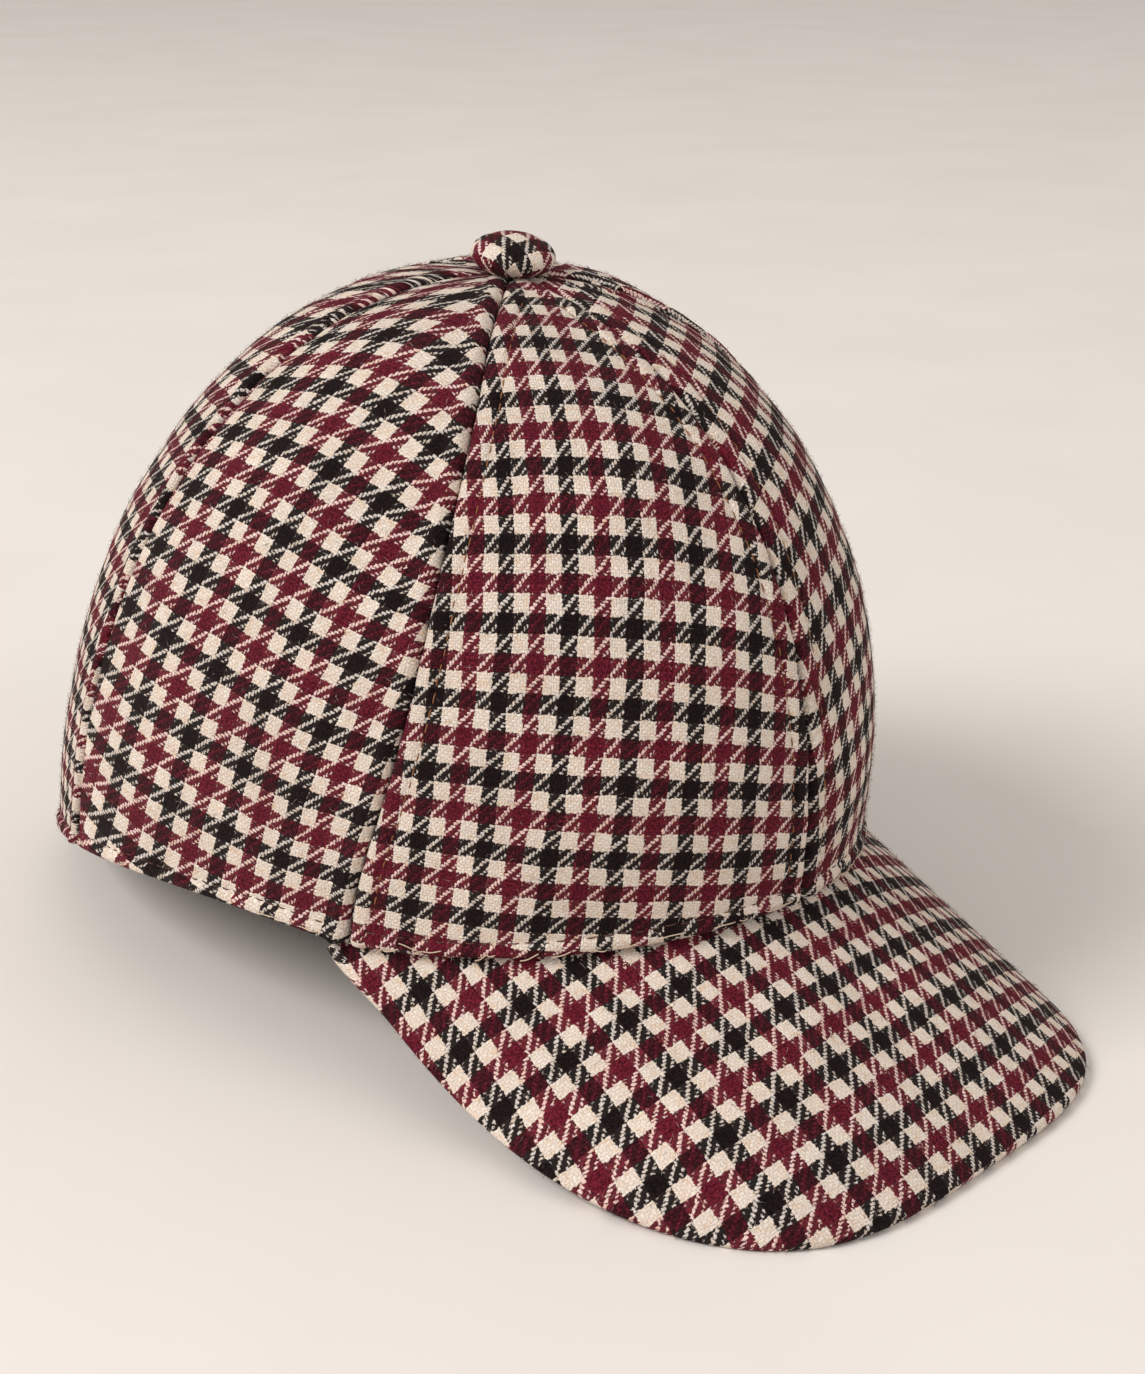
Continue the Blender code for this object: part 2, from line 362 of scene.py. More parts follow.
# %% Node helpers
def add(tree, kind, settings=None, **inputs):
    """A node with its settings; each input is a socket to link or a value, named or by its number."""
    node = tree.nodes.new(kind)
    for key, value in (settings or {}).items():
        setattr(node, key, value)
    for key, value in inputs.items():
        place = int(key[3:]) if key.startswith("at_") else key.replace("_", " ")
        if isinstance(value, bpy.types.NodeSocket):
            tree.links.new(value, node.inputs[place])
        else:
            node.inputs[place].default_value = value
    return node


def calc(tree, operation, *values):
    """The result socket of a Math node on up to three sockets or numbers."""
    inputs = {f"at_{place}": value for place, value in enumerate(values)}
    return add(tree, "ShaderNodeMath", {"operation": operation}, **inputs).outputs[0]


def blend(tree, share, first, second, mode="MIX"):
    """The colour that lies the share of the way from the first to the second, or to the mode's mix."""
    settings = {"data_type": "RGBA", "blend_type": mode}
    return add(tree, "ShaderNodeMix", settings, at_0=share, at_6=first, at_7=second).outputs[2]


def noise(tree, vector, size, detail=2.0, roughness=0.5):
    """Noise from 0 to 1 whose patches measure about the size, in millimetres."""
    node = add(tree, "ShaderNodeTexNoise", Vector=vector, Scale=1 / size, Detail=detail, Roughness=roughness)
    return node.outputs[0]


def stretch(tree, value, low, high, least=0.0, most=1.0):
    """The value's place between low and high, carried over to the range from least to most."""
    ends = {"From_Min": low, "From_Max": high, "To_Min": least, "To_Max": most}
    return add(tree, "ShaderNodeMapRange", Value=value, **ends).outputs[0]


def hump(tree, value):
    """The square root of half a sine wave: 0 at 0 and at 1, and 1 halfway."""
    sine = calc(tree, "SINE", calc(tree, "MULTIPLY", value, math.pi))
    return calc(tree, "SQRT", calc(tree, "MAXIMUM", sine, 0.0))


def new_material(name):
    """A material with an empty node tree, and that tree."""
    material = bpy.data.materials.new(name)
    material.use_nodes = True
    material.node_tree.nodes.clear()
    return material, material.node_tree


def shade_with(tree, **inputs):
    """The material's output, fed by a Principled shader with these inputs."""
    shader = add(tree, "ShaderNodeBsdfPrincipled", **inputs).outputs[0]
    add(tree, "ShaderNodeOutputMaterial", Surface=shader)


# %% [markdown]
# ### One thread at a time
# A real yarn of this cloth is 0.6 mm thick, and the weft is packed a little looser than the warp.
# For each of the two directions the nodes find the number of the thread, the colour of its block,
# and how far the point is across it. Noise bends the threads a little and makes them uneven.

# %% Weave
WARP_SPACING = 0.54
WEFT_SPACING = 0.61
THREADS_A_BLOCK = 6
SLOW_DRIFT, QUICK_DRIFT = 1.3, 0.95
SLOW_PATCH, QUICK_PATCH = 9.0, 0.5
MOTTLE_SIZE = 0.5
MOTTLE_SHARE = 0.6
THREAD_SHARE = 0.25
WARM_SHARE = 0.3
HAIR_SIZE = 0.22
RAGGEDNESS = 0.8
CORNER_DEPTH = 1.0


def thread_colour(tree, number, seed, mottle):
    """Cream for even blocks of threads, burgundy or black in turn for odd ones, uneven by thread.

    Also whether the block is odd, and the tint that its loose fibres give to a thread beside it.
    """
    block = calc(tree, "FLOOR", calc(tree, "DIVIDE", number, float(THREADS_A_BLOCK)))
    odd = calc(tree, "FLOORED_MODULO", block, 2.0)
    black = calc(tree, "GREATER_THAN", calc(tree, "FLOORED_MODULO", block, 4.0), 2.5)
    place = add(tree, "ShaderNodeCombineXYZ", X=number, Y=float(seed)).outputs[0]
    chance = add(tree, "ShaderNodeTexWhiteNoise", {"noise_dimensions": "2D"}, Vector=place).outputs["Value"]
    uneven = calc(tree, "MULTIPLY_ADD", chance, THREAD_SHARE, calc(tree, "MULTIPLY", mottle, MOTTLE_SHARE))
    cream = blend(tree, calc(tree, "MULTIPLY", chance, WARM_SHARE), CREAM, CREAM_WARM)
    burgundy = blend(tree, uneven, BURGUNDY, BURGUNDY_LIGHT)
    dark = blend(tree, uneven, BLACK, BLACK_LIGHT)
    colour = blend(tree, odd, cream, blend(tree, black, burgundy, dark))
    glow = blend(tree, odd, BESIDE_CREAM, blend(tree, black, BESIDE_BURGUNDY, BESIDE_BLACK))
    return colour, odd, glow


def bent(tree, vector, pitch, amount):
    """The vector moved by noise whose patches measure about the pitch in millimetres."""
    kind, middle, amounts = "ShaderNodeVectorMath", (0.5, 0.5, 0.5), (amount, amount, 0)
    push = add(tree, "ShaderNodeTexNoise", Vector=vector, Scale=1 / pitch, Detail=2.0).outputs["Color"]
    push = add(tree, kind, {"operation": "SUBTRACT"}, at_0=push, at_1=middle).outputs[0]
    return add(tree, kind, {"operation": "MULTIPLY_ADD"}, at_0=push, at_1=amounts, at_2=vector).outputs[0]


def weave(tree):
    """Colour and height of the twill at the point's place on the flat cloth, in millimetres."""
    flat = add(tree, "ShaderNodeUVMap", {"uv_map": "cloth"}).outputs[0]
    moved = bent(tree, bent(tree, flat, SLOW_PATCH, SLOW_DRIFT), QUICK_PATCH, QUICK_DRIFT)
    split = add(tree, "ShaderNodeSeparateXYZ", Vector=moved)
    across = calc(tree, "DIVIDE", split.outputs[0], WARP_SPACING)
    along = calc(tree, "DIVIDE", split.outputs[1], WEFT_SPACING)
    warp, weft = calc(tree, "FLOOR", across), calc(tree, "FLOOR", along)
    in_warp, in_weft = calc(tree, "SUBTRACT", across, warp), calc(tree, "SUBTRACT", along, weft)
    mottle = stretch(tree, noise(tree, flat, MOTTLE_SIZE, detail=3.0, roughness=0.7), 0.43, 0.6)
    warp_colour, warp_odd, warp_glow = thread_colour(tree, warp, 3, mottle)
    weft_colour, weft_odd, weft_glow = thread_colour(tree, weft, 11, mottle)

    # Warp shows in two cells of four along the twill's diagonal, weft in the other two. The twill
    # moves on by two threads at each block of warp, so a cream dash runs through the middle of
    # every mixed block, as on the real cloth
    step = calc(tree, "SUBTRACT", calc(tree, "SUBTRACT", warp, weft), 1.0)
    step = calc(tree, "FLOORED_MODULO", calc(tree, "MULTIPLY_ADD", warp_odd, 2.0, step), 4.0)
    weft_shows = calc(tree, "GREATER_THAN", step, 1.5)

    # Place along a float, which spans two cells, and across it
    warp_way = calc(tree, "MULTIPLY", calc(tree, "SUBTRACT", calc(tree, "ADD", in_weft, 1.0), step), 0.5)
    weft_way = calc(tree, "MULTIPLY", calc(tree, "ADD", in_warp, calc(tree, "SUBTRACT", step, 2.0)), 0.5)
    way = add(tree, "ShaderNodeMix", Factor=weft_shows, A=warp_way, B=weft_way).outputs[0]
    side = add(tree, "ShaderNodeMix", Factor=weft_shows, A=in_warp, B=in_weft).outputs[0]
    height = calc(tree, "MULTIPLY", hump(tree, way), hump(tree, side))

    # A float is rounded at its ends. Beside it the darker of the two threads' colours is painted, partly
    # the crossing thread that shows there and partly painted shade in the gaps between threads. Floats at
    # a mixed block's corners lie deeper than those on its diagonal, so more painted shade shows round
    # them, and fibres make all of them ragged
    block = float(THREADS_A_BLOCK)
    in_blocks = (calc(tree, "FLOORED_MODULO", threads, block) for threads in (across, along))
    off_line = calc(tree, "DIVIDE", calc(tree, "SUBTRACT", *in_blocks), block)
    deeper = calc(tree, "MULTIPLY", calc(tree, "MULTIPLY", off_line, off_line), -CORNER_DEPTH)
    hairs = calc(tree, "SUBTRACT", noise(tree, flat, HAIR_SIZE), 0.5)
    ragged = calc(tree, "MULTIPLY_ADD", hairs, RAGGEDNESS, height)
    rounded = stretch(tree, calc(tree, "ADD", ragged, deeper), 0.3, 0.62)
    shown = blend(tree, weft_shows, warp_colour, weft_colour)
    # Painted shade: the darker thread's colour fills the gaps round each float
    beside = blend(tree, 1.0, warp_colour, weft_colour, "DARKEN")
    shown = blend(tree, rounded, beside, shown)

    # Fuzz mixes two dark threads, and tints a cream float pink or grey by the dark thread beside it
    both_dark = calc(tree, "MULTIPLY", warp_odd, weft_odd)
    mixed = calc(tree, "SUBTRACT", 1.0, both_dark)
    shown = blend(tree, mixed, shown, blend(tree, 1.0, warp_glow, weft_glow, "MULTIPLY"), "MULTIPLY")
    fuzz = calc(tree, "MULTIPLY_ADD", both_dark, 0.5, 0.03)
    return flat, blend(tree, fuzz, shown, blend(tree, 0.5, warp_colour, weft_colour)), height


# %% [markdown]
# ### From threads to wool
# Wool isn't smooth: loose fibres stand up and soften the look, which the sheen gives, and the dips
# between the threads get painted shade, a darker colour where the weave is low. Fine noise along the
# cloth stands for single fibres, which are far too thin to draw, so it is drawn at about a third of a
# millimetre.

# %% Cloth material
FIBRE_SIZE = 0.3
FIBRE_RELIEF = 0.6
BUMP_DISTANCE = 0.0003
CLOUD_SIZE = 22.0
TAN_SIZE = 1.6
TAN_TINT = linear("#F0CFA6")
SHEEN_TINT = linear("#F2E6DA")


def wool(name, relief, dip_shade):
    """Worsted wool twill: the weave's colour with painted shade in its dips, fibre noise, bump and sheen."""
    material, tree = new_material(name)
    flat, colour, height = weave(tree)
    fibre = noise(tree, flat, FIBRE_SIZE, detail=3.0, roughness=0.7)
    tan = stretch(tree, noise(tree, flat, TAN_SIZE, roughness=0.7), 0.5, 0.75, most=0.55)
    colour = blend(tree, tan, colour, blend(tree, 1.0, colour, TAN_TINT, "MULTIPLY"))
    # Painted shade: the colour is darker where the weave's height is low, in the dips between threads
    dip = stretch(tree, height, 0.0, 0.7, least=dip_shade)
    worn = stretch(tree, fibre, 0.3, 0.7, least=0.74, most=1.24)
    cloud = stretch(tree, noise(tree, flat, CLOUD_SIZE), 0.3, 0.7, least=0.93, most=1.05)
    # Painted dip shade, times tone that differs at random by fibre and by patch
    dip_shade_and_tone = calc(tree, "MULTIPLY", calc(tree, "MULTIPLY", dip, worn), cloud)
    grey = add(tree, "ShaderNodeCombineColor", Red=dip_shade_and_tone, Green=dip_shade_and_tone, Blue=dip_shade_and_tone).outputs[0]
    rise = calc(tree, "MULTIPLY_ADD", fibre, FIBRE_RELIEF, height)
    bump = add(tree, "ShaderNodeBump", Strength=relief, Distance=BUMP_DISTANCE, Height=rise).outputs[0]
    shade_with(
        tree,
        Base_Color=blend(tree, 1.0, colour, grey, "MULTIPLY"),
        Roughness=0.95,
        IOR=1.5,
        Specular_IOR_Level=0.12,
        Sheen_Weight=0.025,
        Sheen_Roughness=0.5,
        Sheen_Tint=SHEEN_TINT,
        Normal=bump,
    )
    return material


panel_wool = wool("wool_twill_panels", relief=0.7, dip_shade=0.78)
peak_wool = wool("wool_twill_peak", relief=0.6, dip_shade=0.8)
button_wool = wool("wool_twill_button", relief=0.6, dip_shade=0.8)
print("materials:", [material.name for material in (panel_wool, peak_wool, button_wool)])

# %% [markdown]
# ## The crown's panels
# Sewn wool doesn't meet in a sharp line. Each panel's edge rolls down into the seam, the cloth that
# is turned in behind it makes a low raised band, and a row of stitches pulls that band down again.
# All of this is a height added along the normal, as a function of the distance to the seam. One
# table says how each side of each seam looks: the height of its band, the band's width, the radius
# of its fold, and how far the seam pulls the check along with it in warp and weft.

# %% Seam table
SeamSide = namedtuple("SeamSide", "roll width fold stitched pull", defaults=(False, (0.0, 0.0)))
SEAM_SIDES = {
    ("front", "start"): SeamSide(roll=0.5, width=4.4, fold=1.6, stitched=True),
    ("front", "end"): SeamSide(roll=0.4, width=4.4, fold=1.9, stitched=True),
    ("side", "start"): SeamSide(roll=1.0, width=3.6, fold=2.5, pull=(-1.2, -2.7)),
    ("side", "end"): SeamSide(roll=-0.1, width=4.0, fold=1.2),
    ("back", "start"): SeamSide(roll=0.9, width=3.2, fold=1.6),
    ("back", "end"): SeamSide(roll=0.5, width=4.4, fold=1.6, stitched=True),
}
PULL_REACH = 13.0
BAND_EDGE = 0.45
STITCH_DENT, DENT_WIDTH = 0.5, 0.5
HEM_HEIGHT = 3.5
HEM_SWELL = 1.0
SEAM_BOW = math.radians(3.0)
BOW_START, BOW_END, BOW_FADE = 0.14, 0.68, 0.06
SINES = 8


def sides_of(panel):
    """The table's rows for the panel's start and end, which change places on the left."""
    sides = [SEAM_SIDES[panel.name.split("_")[0], end] for end in ("start", "end")]
    return sides[::-1] if "_left" in panel.name else sides


def seam_angle(angle, share):
    """The seam's angle. The side seams bow forwards: a bell's foot lets the bow in, a logistic ends it."""
    if not math.isclose(abs(angle), SIDE_SEAM):
        return angle + 0 * share
    bow = (1 - np.exp(-((share / BOW_START) ** 2))) / (1 + np.exp((share - BOW_END) / BOW_FADE))
    return angle - math.copysign(SEAM_BOW, angle) * bow


def fold_drop(distance, radius):
    """How far a fold of that radius drops below the surface: the radius less a circle's height."""
    return radius - np.sqrt(np.maximum(radius**2 - np.clip(radius - distance, 0, radius) ** 2, 0))


def band_height(distance, width, swell, dent):
    """A plateau that a logistic ends at the width, less a bell of the stitches' dent there."""
    past = distance - width
    return swell / (1 + np.exp(past / BAND_EDGE)) - dent * np.exp(-((past / DENT_WIDTH) ** 2))


def seam_height(distance, side):
    """The band behind the seam, less the fold at the seam."""
    band = band_height(distance, side.width, side.roll, STITCH_DENT * side.stitched)
    return band - fold_drop(distance, side.fold)


def soft_waves(u, v, seed, length):
    """The mean of eight sine waves of nearly the same length whose directions and phases are seeded."""
    chance = np.random.default_rng(seed)
    total = 0
    for _ in range(SINES):
        direction, phase = chance.uniform(0, 2 * math.pi, 2)
        pitch = 2 * math.pi / (length * chance.uniform(0.75, 1.35))
        total = total + np.sin(pitch * (u * math.cos(direction) + v * math.sin(direction)) + phase)
    return total / SINES


# %% [markdown]
# ### Laying the cloth flat
# The check has to run straight on the flat cloth, so each point needs its place on the cut panel.
# The lengths up and across the panel are measured first. The lines up the panel close in on each
# other, as on a cone, so the place across is bent by that angle into the flat pattern.

# %% Flat pattern
def flat_pattern(points, middle):
    """Lengths across and up the panel, bent by the angle at which the panel's lines close in.

    The angle round the cap grows to the left as seen from outside, so the place across changes sign.
    """
    across, up = run_length(points, 0), run_length(points, 1)
    across = across - across[middle]
    closing = -np.gradient(across, axis=1) / np.maximum(np.gradient(up, axis=1), 1e-6)
    closing = np.where(np.abs(closing) < 1e-5, 1e-5, closing)
    u = across * np.sin(closing) / closing
    v = up + across * (1 - np.cos(closing)) / closing
    return np.stack([-u, v], axis=-1), across, up


# %% Panel surface
COLUMNS, ROWS, HEM_ROWS = 101, 132, 22
COLUMN_CROWDING, HEM_CROWDING = 1.7, 1.6
HEM_SHARE = 0.055
EVEN_LINES, WIDER = 125, 0.12
# Sewn cloth meets more closely than the solids do: this share of their clearance is left
SEWN_SHARE = 0.4
# Waves in the cloth, and the distance over which they come or go
Wave = namedtuple("Wave", "height length reach")
PUCKER = Wave(height=0.35, length=9.0, reach=6.0)
PUCKER_SQUASH = 0.4
SLACK = Wave(height=0.55, length=34.0, reach=12.0)
NARROW_WIDTH = 16.0
CALM_RIM = 6.0
CALM_SEAM = 1.6
THINNEST = 0.15


def crowded(count, crowding):
    """Numbers from 0 to 1 that lie closer together at both ends."""
    even = np.linspace(-1, 1, count)
    return 0.5 + 0.5 * np.sign(even) * (1 - (1 - np.abs(even)) ** crowding)


def laid_flat(panel, share, place):
    """Flat pattern and lengths at a place across the panel, between the lines of an even, wider grid."""
    even = np.linspace(-WIDER, 1 + WIDER, EVEN_LINES)[:, None]
    points, _ = swollen(panel.start + (panel.end - panel.start) * even, share, np.clip(even, 0, 1))
    flat, across, up = flat_pattern(points, len(even) // 2)
    measures = np.concatenate([flat, across[..., None], up[..., None]], axis=-1)
    index = (place - even[0]) / (even[1] - even[0])
    below = np.clip(index.astype(int), 0, len(even) - 2)
    part = (index - below)[..., None]
    row = np.arange(share.shape[1])
    result = measures[below, row] * (1 - part) + measures[below + 1, row] * part
    return result[..., :2], result[..., 2], result[..., 3]


def panel_surfaces(panel, seed):
    """Outer and inner points, normals, flat pattern and lengths of a panel with sewn edges."""
    start_side, end_side = sides_of(panel)
    position = crowded(COLUMNS, COLUMN_CROWDING)[:, None]
    hem_rows = HEM_SHARE * np.linspace(0, 1, HEM_ROWS)[:-1] ** HEM_CROWDING
    share = np.concatenate([hem_rows, np.linspace(HEM_SHARE, 1, ROWS - HEM_ROWS + 1)])[None, :]
    first = seam_angle(panel.start, share) + SEWN_SHARE * half_gap_angle(panel.start, share)
    last = seam_angle(panel.end, share) - SEWN_SHARE * half_gap_angle(panel.end, share)
    theta = first + (last - first) * position
    flat, across, up = laid_flat(panel, share, (theta - panel.start) / (panel.end - panel.start))
    base, normal = swollen(theta, share, position)

    from_start, from_end = across - across[:1], across[-1:] - across
    nearest = np.minimum(from_start, from_end)
    fade = np.clip(from_start[-1:] / NARROW_WIDTH, 0, 1)
    pucker = PUCKER.height * soft_waves(up, across * PUCKER_SQUASH, seed + 50, PUCKER.length)
    pucker = pucker * np.exp(-nearest / PUCKER.reach)
    slack = SLACK.height * soft_waves(across, up, seed, SLACK.length)
    slack = slack * np.clip(nearest / SLACK.reach, 0, 1)
    height = (seam_height(from_start, start_side) + seam_height(from_end, end_side)) * fade
    height = height + (pucker + slack) * fade * np.clip(up / CALM_RIM, 0, 1)
    hem = band_height(up, HEM_HEIGHT, HEM_SWELL, STITCH_DENT)
    height = height + hem * (1 - np.exp(-((nearest / CALM_SEAM) ** 2)))
    rounding = fold_drop(up, (CLOTH_WALL + HEM_SWELL) / 2)
    inner_height = rounding - CLOTH_WALL
    outer_height = np.maximum(height - rounding, inner_height + THINNEST)
    outer_height[:, :1] = (outer_height[:, :1] + inner_height[:, :1]) / 2
    outer = base + outer_height[..., None] * normal
    inner = base + inner_height[..., None] * normal
    return outer, inner, normal, flat, across, up


# %% [markdown]
# ### How the check lies on each piece
# A cutter turns the pattern on the cloth, and the iron and the sewing stretch and bow it a little.
# For each piece one row for the warp and one for the weft says how far the place on the cloth moves
# for each millimetre across and up the piece, how it fans out, and how it bows across and up. The
# left side of the cap is cut as the mirror image of the right, but the twill keeps its direction.

# %% Cutting table
Cut = namedtuple("Cut", "start across up fan bow ease", defaults=(0.0, 0.0, 0.0, 0.0, 0.0))
CUTS = {
    "front": (
        Cut(start=35.5, across=1.10, up=-0.05, fan=0.11, bow=0.05, ease=-0.04),
        Cut(start=-33.9, across=0.25, up=1.01, fan=0.14, bow=0.06, ease=-0.03),
    ),
    "side": (
        Cut(start=6.5, across=0.78, up=-0.13, fan=0.17, bow=0.41, ease=0.01),
        Cut(start=50.2, across=0.28, up=0.95, fan=0.21, bow=-0.15, ease=0.09),
    ),
    "back": (
        Cut(start=21.0, across=0.95, up=-0.05, fan=0.10),
        Cut(start=14.0, across=0.15, up=1.0, fan=0.10, bow=0.05),
    ),
    "peak": (
        Cut(start=59.6, across=1.20, up=0.23, fan=0.66, bow=0.10, ease=0.10),
        Cut(start=6.5, up=1.06, fan=0.13, bow=-0.25, ease=-0.03),
    ),
    "button": (Cut(start=2.6, across=1.0), Cut(start=3.4, up=1.0)),
}
MIDDLES = {"front": 60.0, "side": 60.0, "back": 60.0, "peak": -120.0, "button": 0.0}
BEND = 0.01


def on_cloth(flat, name):
    """Start plus the shares of across and up, plus a hundredth of their products, for warp and weft."""
    kind = name.split("_")[0]
    mirror = -1 if "_left" in name else 1
    across, up = flat[..., 0] * mirror, flat[..., 1] - MIDDLES[kind]
    warp, weft = (
        cut.start + cut.across * across + cut.up * up
        + BEND * (cut.fan * across * up + cut.bow * across**2 + cut.ease * up**2)
        for cut in CUTS[kind]
    )
    return np.stack([warp * mirror, weft], axis=-1)


def sewn_pull(across, panel):
    """The shift in warp and weft near the seams: each seam's pull times a bell of the distance to it."""
    mirror = -1 if "_left" in panel.name else 1
    return sum(
        np.exp(-((distance / PULL_REACH) ** 2))[..., None] * np.array(side.pull) * [mirror, 1]
        for distance, side in zip((across - across[:1], across[-1:] - across), sides_of(panel))
    )


# %% [markdown]
# ### Closing a panel
# The outer face and the inner face share the fold at the rim. Strips close the shell at the top and
# along both seams, so every panel is one closed skin.

# %% Build the panels
def shell(outer, inner):
    """Points, quads and triangles of two grids that share their first row, closed all round."""
    columns, rows = outer.shape[:2]
    front = np.arange(columns * rows).reshape(columns, rows)
    behind = front.size + np.arange(columns * (rows - 1)).reshape(columns, -1)
    behind = np.concatenate([front[:, :1], behind], axis=1)
    points = np.concatenate([outer.reshape(-1, 3), inner[:, 1:].reshape(-1, 3)])
    quads = [
        np.stack([grid[:-1, :-1], grid[1:, :-1], grid[1:, 1:], grid[:-1, 1:]], -1).reshape(-1, 4)
        for grid in (front, behind)
    ]
    quads.append(np.stack([front[:-1, -1], front[1:, -1], behind[1:, -1], behind[:-1, -1]], -1))
    triangles = []
    for column in (0, -1):
        one, two = front[column], behind[column]
        quads.append(np.stack([one[1:-1], one[2:], two[2:], two[1:-1]], -1))
        triangles.append([[one[0], one[1], two[1]]])
    return points, np.concatenate(quads), np.concatenate(triangles)


Skin = namedtuple("Skin", "outer normal cloth across up")
skins = {}
for seed, panel in enumerate(PANELS):
    outer, inner, normal, flat, across, up = panel_surfaces(panel, seed)
    cloth = on_cloth(flat, panel.name) + sewn_pull(across, panel)
    skins[panel.name] = Skin(outer, normal, cloth, across, up)
    points, quads, triangles = shell(outer, inner)
    places = np.concatenate([cloth.reshape(-1, 2), cloth[:, 1:].reshape(-1, 2)])
    piece = put_piece(panel.name + "_cloth", points, quads, triangles, places, panel_wool, "panel_cloth")
    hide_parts(panel.name)

# %% [markdown]
# ## The peak
# The peak is a board covered in the same cloth, which is turned round its edge. Its top is drawn
# from the seat under the crown to the outline in straight lines, and the edge is a half circle. The
# check runs straight forward, and follows the cloth round the edge.

# %% Peak surface
STATIONS, TOP_ROWS, EDGE_STEPS = 201, 46, 9
EDGE_RADIUS = PEAK_THICKNESS / 2
HALF_OUTLINE = 90
TOP_BULGE = 0.5
TOP_WAVE = Wave(height=0.22, length=26.0, reach=20.0)


def peak_shell():
    """Loops from the seat over the top, round the edge by a half circle and back underneath."""
    station = spread_evenly(STATIONS)
    seat, edge = peak_seat(station), peak_outline(station)
    outward = unit(edge - seat)
    normal = np.cross(np.gradient(edge, axis=0), outward)
    normal = unit(normal * np.sign(normal[:, 2:3]))
    reach = np.linalg.norm(edge - seat, axis=-1)[:, None] - EDGE_RADIUS
    reach = np.maximum(reach, 0.05)
    rows = np.linspace(0, 1, TOP_ROWS)[None, :]
    top_way = reach * rows
    arch = np.sin(math.pi * rows)
    waves = soft_waves(station[:, None] * HALF_OUTLINE, top_way, 70, TOP_WAVE.length)
    rise = TOP_BULGE * arch * np.clip(reach / TOP_WAVE.reach, 0, 1) + TOP_WAVE.height * waves * arch
    top = seat[:, None] + top_way[..., None] * outward[:, None] + rise[..., None] * normal[:, None]
    angle = np.linspace(math.pi / 2, -math.pi / 2, EDGE_STEPS)[None, 1:-1]
    round_out = (reach + EDGE_RADIUS * np.cos(angle))[..., None] * outward[:, None]
    round_up = (EDGE_RADIUS * (np.sin(angle) - 1))[..., None] * normal[:, None]
    bend = seat[:, None] + round_out + round_up
    under = (top - PEAK_THICKNESS * normal[:, None])[:, ::-1]
    return np.concatenate([top, bend, under], axis=1), outward


loops, outward = peak_shell()
count = loops.shape[1]
number = np.arange(STATIONS * count).reshape(STATIONS, count)
after = np.roll(number, -1, axis=1)
quads = [np.stack([number[:-1], number[1:], after[1:], after[:-1]], -1).reshape(-1, 4)]
half = TOP_ROWS + (EDGE_STEPS - 2) // 2
ends = []
for row in (number[0], number[-1]):
    mirror = row[::-1]
    quads.append(np.stack([row[:half], row[1 : half + 1], mirror[1 : half + 1], mirror[:half]], -1))
    middle = quads[-1][-1]
    quads[-1] = quads[-1][:-1]
    ends.append([[middle[0], middle[1], middle[3]]])
plan = unit(outward[:, :2])[:, None]
peak_cloth = on_cloth(loops[:, :1, :2] + run_length(loops, 1)[..., None] * plan, "peak")
piece = put_piece(
    "peak_cloth", loops.reshape(-1, 3), np.concatenate(quads), np.concatenate(ends),
    peak_cloth.reshape(-1, 2), peak_wool, "peak_cloth",
)
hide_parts("peak")

# %% [markdown]
# ## The button
# A covered button is a metal cap with a disc of cloth gathered under it. The disc is stretched over
# the dome, so its place on the flat cloth is the length from the middle of the dome.

# %% Button surface
BUTTON_RADIUS = 8.4
BUTTON_HALF_HEIGHT = 4.2
BUTTON_BASE_RADIUS = 5.5
BUTTON_ROUND, BUTTON_RINGS = 96, 40


def button_shell():
    """A flattened ball turned round z, with gathers that grow as a power towards its base."""
    first = -math.acos(BUTTON_BASE_RADIUS / BUTTON_RADIUS)
    centre = CROWN_HEIGHT + GAP - BUTTON_HALF_HEIGHT * math.sin(first)
    angle = np.linspace(math.pi / 2, first, BUTTON_RINGS)[None, 1:]
    turn_angle = 2 * math.pi * np.arange(BUTTON_ROUND)[:, None] / BUTTON_ROUND
    low = np.clip((0.5 - np.sin(angle)) / 1.2, 0, 1) ** 1.5
    radius = BUTTON_RADIUS * np.cos(angle) * (1 - 0.03 * low * (1 + np.cos(turn_angle * 14)))
    dome = np.stack(
        [
            radius * np.cos(turn_angle),
            radius * np.sin(turn_angle) - TOP_FORWARD,
            centre + BUTTON_HALF_HEIGHT * np.sin(angle) + 0 * turn_angle,
        ],
        -1,
    )
    way = run_length(dome, 1) + BUTTON_RADIUS * math.cos(angle[0, 0])
    flat = np.stack([way * np.cos(turn_angle), way * np.sin(turn_angle)], -1)
    pole = [[0, -TOP_FORWARD, centre + BUTTON_HALF_HEIGHT]]
    base = [[0, -TOP_FORWARD, dome[0, -1, 2]]]
    return dome, flat, np.array(pole + base)


dome, flat, poles = button_shell()
number = np.arange(dome.shape[0] * dome.shape[1]).reshape(dome.shape[:2])
after = np.roll(number, -1, axis=0)
quads = np.stack([number[:, :-1], after[:, :-1], after[:, 1:], number[:, 1:]], -1).reshape(-1, 4)
pole, base = number.size, number.size + 1
lids = [
    np.stack([np.full(BUTTON_ROUND, tip), one, two], -1)
    for tip, one, two in ((pole, number[:, 0], after[:, 0]), (base, after[:, -1], number[:, -1]))
]
cloth = on_cloth(np.concatenate([flat.reshape(-1, 2), np.zeros((2, 2))]), "button")
piece = put_piece(
    "top_button_cloth", np.concatenate([dome.reshape(-1, 3), poles]), quads, np.concatenate(lids),
    cloth, button_wool, "button_cloth",
)
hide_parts("top_button")

# %% [markdown]
# ## Sewing thread
# The seams are sewn down with a tan thread that sinks into the wool, and the hem with a brown one.
# A stitch is a short arc that dives into the cloth at both ends. Its line is the place where the
# distance to the seam or the rim, known for every point of the panel, reaches a set value.

